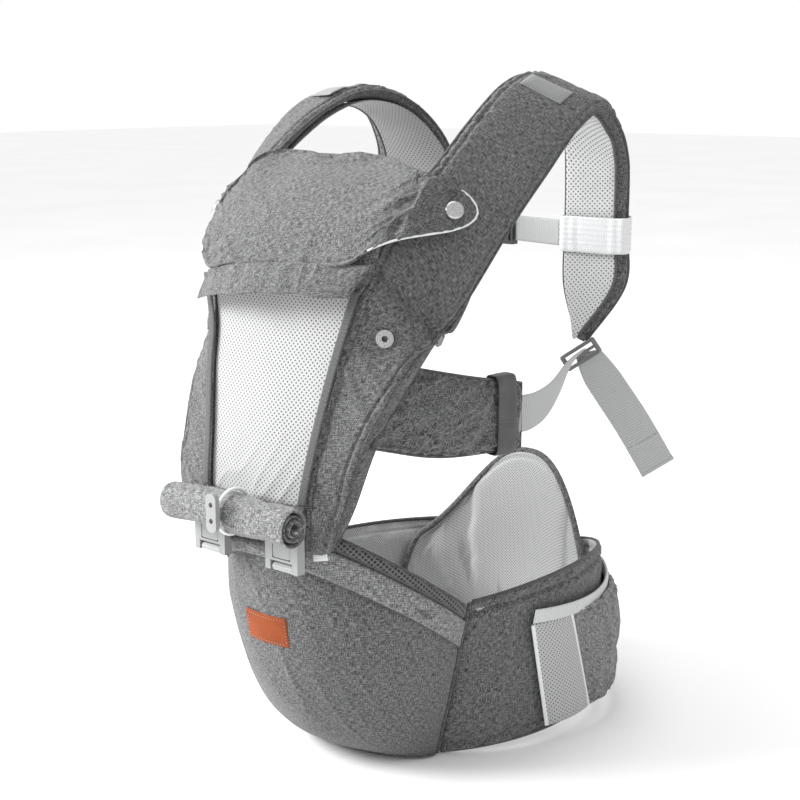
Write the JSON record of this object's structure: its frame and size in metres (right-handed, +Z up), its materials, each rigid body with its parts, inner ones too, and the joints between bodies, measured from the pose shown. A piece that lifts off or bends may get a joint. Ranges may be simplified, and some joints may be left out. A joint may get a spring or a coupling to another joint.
{
  "type": "baby carrier backpack",
  "caption": "Hip-seat baby carrier: wedge seat on a padded waist belt with a clip-on mesh panel, folding head support, two shoulder straps and a chest strap.",
  "frame": {"origin": "centre of the bottom face of the whole model box, on the ground", "axes": "+Z up, -Y the way the seat and panel face, +X the wearer-side right wing as seen from the front"},
  "size_m": [0.3596, 0.5009, 0.6305],
  "materials": {
    "melange": "two-tone grey melange canvas",
    "mesh_light": "perforated off-white air mesh",
    "mesh_dark": "dark air mesh",
    "lining": "soft cream lining",
    "binding": "dark grey binding tape",
    "webbing": "ribbed light grey webbing",
    "elastic": "white satin elastic",
    "elastic_gray": "light grey ribbed elastic",
    "plastic_light": "moulded light grey acetal",
    "plastic_dark": "moulded dark grey acetal",
    "snap_metal": "satin nickel snaps",
    "label_leather": "orange leather, stitched edge, blank",
    "keeper_leather": "dark grey coated loop",
    "foam": "expanded foam bead"
  },
  "bodies": {
    "hip_seat": {"seat_cover": "melange", "seat_core": "foam", "seat_top_pad": "mesh_dark", "belly_pad": "mesh_light", "label_patch": "label_leather", "seat_tabs": "webbing"},
    "belt_right": {"belt_wing_right": "melange", "pocket_right": "melange", "pocket_band_right": "elastic_gray", "belt_webbing_right": "webbing", "lumbar_pad": "mesh_light", "waist_buckle_female": "plastic_dark"},
    "belt_left": {"belt_wing_left": "melange", "pocket_left": "melange", "pocket_band_left": "elastic_gray", "belt_webbing_left": "webbing", "waist_buckle_male": "plastic_dark"},
    "waist_prong_upper": {"waist_buckle_prong_upper": "plastic_dark"},
    "waist_prong_lower": {"waist_buckle_prong_lower": "plastic_dark"},
    "connectors": {"connector_female_right": "plastic_light", "connector_female_left": "plastic_light"},
    "button_right": {"connector_button_right": "plastic_light"},
    "button_left": {"connector_button_left": "plastic_light"},
    "hood": {"hood": "melange", "hood_snaps": "snap_metal"},
    "toggle": {"toggle": "plastic_light"},
    "chest_strap": {"chest_band_right": "elastic", "chest_band_left": "elastic", "chest_webbing_right": "webbing", "chest_webbing_left": "webbing", "chest_buckle_female": "plastic_dark"},
    "chest_plug": {"chest_buckle_male": "plastic_dark"},
    "chest_prong_upper": {"chest_buckle_prong_upper": "plastic_dark"},
    "chest_prong_lower": {"chest_buckle_prong_lower": "plastic_dark"},
    "carrier": {"connector_males": "plastic_light", "flap_roll": "melange", "hood_visor": "melange", "ladder_locks": "plastic_dark", "panel_hem": "melange", "panel_lining": "lining", "panel_side_left": "melange", "panel_side_right": "melange", "panel_yoke": "melange", "ring_snaps": "snap_metal", "roll_elastic": "elastic", "shoulder_strap_left": "melange", "shoulder_strap_right": "melange", "side_wing_left": "melange", "side_wing_right": "melange", "snap_sockets": "snap_metal", "strap_keepers": "webbing", "strap_lining_left": "mesh_light", "strap_lining_right": "mesh_light", "strap_tail_left": "webbing", "strap_tail_right": "webbing", "strap_webbing_left": "webbing", "strap_webbing_right": "webbing", "window_bindings": "binding", "window_mesh": "mesh_light", "wing_keepers": "keeper_leather"}
  },
  "joints": [
    {"name": "belt_right_open", "type": "hinge", "parent": "hip_seat", "child": "belt_right", "pos_m": [0.1205, -0.0468, 0.078], "axis": [0, 0, -1], "range_deg": [0, 35]},
    {"name": "belt_left_open", "type": "hinge", "parent": "hip_seat", "child": "belt_left", "pos_m": [-0.1205, -0.0468, 0.078], "axis": [0, 0, 1], "range_deg": [0, 35]},
    {"name": "connector_swing", "type": "hinge", "parent": "hip_seat", "child": "connectors", "pos_m": [0, -0.2048, 0.2166], "axis": [1, 0, 0], "range_deg": [0, 70]},
    {"name": "connector_button_right_press", "type": "slide", "parent": "connectors", "child": "button_right", "axis": [0, 1, 0], "range_m": [0, 0.0011], "stiffness_N_per_m": 600},
    {"name": "connector_button_left_press", "type": "slide", "parent": "connectors", "child": "button_left", "axis": [0, 1, 0], "range_m": [0, 0.0011], "stiffness_N_per_m": 600},
    {"name": "carrier_unclip", "type": "slide", "parent": "connectors", "child": "carrier", "axis": [0, 0, 1], "range_m": [0, 0.04]},
    {"name": "hood_fold", "type": "hinge", "parent": "carrier", "child": "hood", "pos_m": [0, -0.1833, 0.468], "axis": [1, 0, 0], "range_deg": [0, 80]},
    {"name": "toggle_turn", "type": "hinge", "parent": "carrier", "child": "toggle", "pos_m": [0.003, -0.2482, 0.267], "axis": [0, 1, 0], "range_deg": [-15, 15]},
    {"name": "chest_strap_slide", "type": "slide", "parent": "carrier", "child": "chest_strap", "axis": [0, 0, 1], "range_m": [-0.012, 0.008]},
    {"name": "chest_unclip", "type": "slide", "parent": "chest_strap", "child": "chest_plug", "axis": [-1, 0, 0], "range_m": [0, 0.022]},
    {"name": "chest_prong_upper_squeeze", "type": "hinge", "parent": "chest_plug", "child": "chest_prong_upper", "pos_m": [-0.004, 0.1487, 0.4899], "axis": [0, 1, 0], "range_deg": [0, 5], "stiffness_Nm_per_rad": 0.5},
    {"name": "chest_prong_lower_squeeze", "type": "hinge", "parent": "chest_plug", "child": "chest_prong_lower", "pos_m": [-0.004, 0.1487, 0.4661], "axis": [0, -1, 0], "range_deg": [0, 5], "stiffness_Nm_per_rad": 0.5},
    {"name": "waist_prong_upper_squeeze", "type": "hinge", "parent": "belt_left", "child": "waist_prong_upper", "pos_m": [0.0015, 0.2437, 0.10885], "axis": [0, 1, 0], "range_deg": [0, 5], "stiffness_Nm_per_rad": 0.5},
    {"name": "waist_prong_lower_squeeze", "type": "hinge", "parent": "belt_left", "child": "waist_prong_lower", "pos_m": [0.0015, 0.2437, 0.07315], "axis": [0, -1, 0], "range_deg": [0, 5], "stiffness_Nm_per_rad": 0.5}
  ],
  "couplings": [
    {"joint": "belt_left_open", "follows": "belt_right_open", "ratio": 1},
    {"joint": "chest_prong_lower_squeeze", "follows": "chest_prong_upper_squeeze", "ratio": 1},
    {"joint": "waist_prong_lower_squeeze", "follows": "waist_prong_upper_squeeze", "ratio": 1}
  ]
}
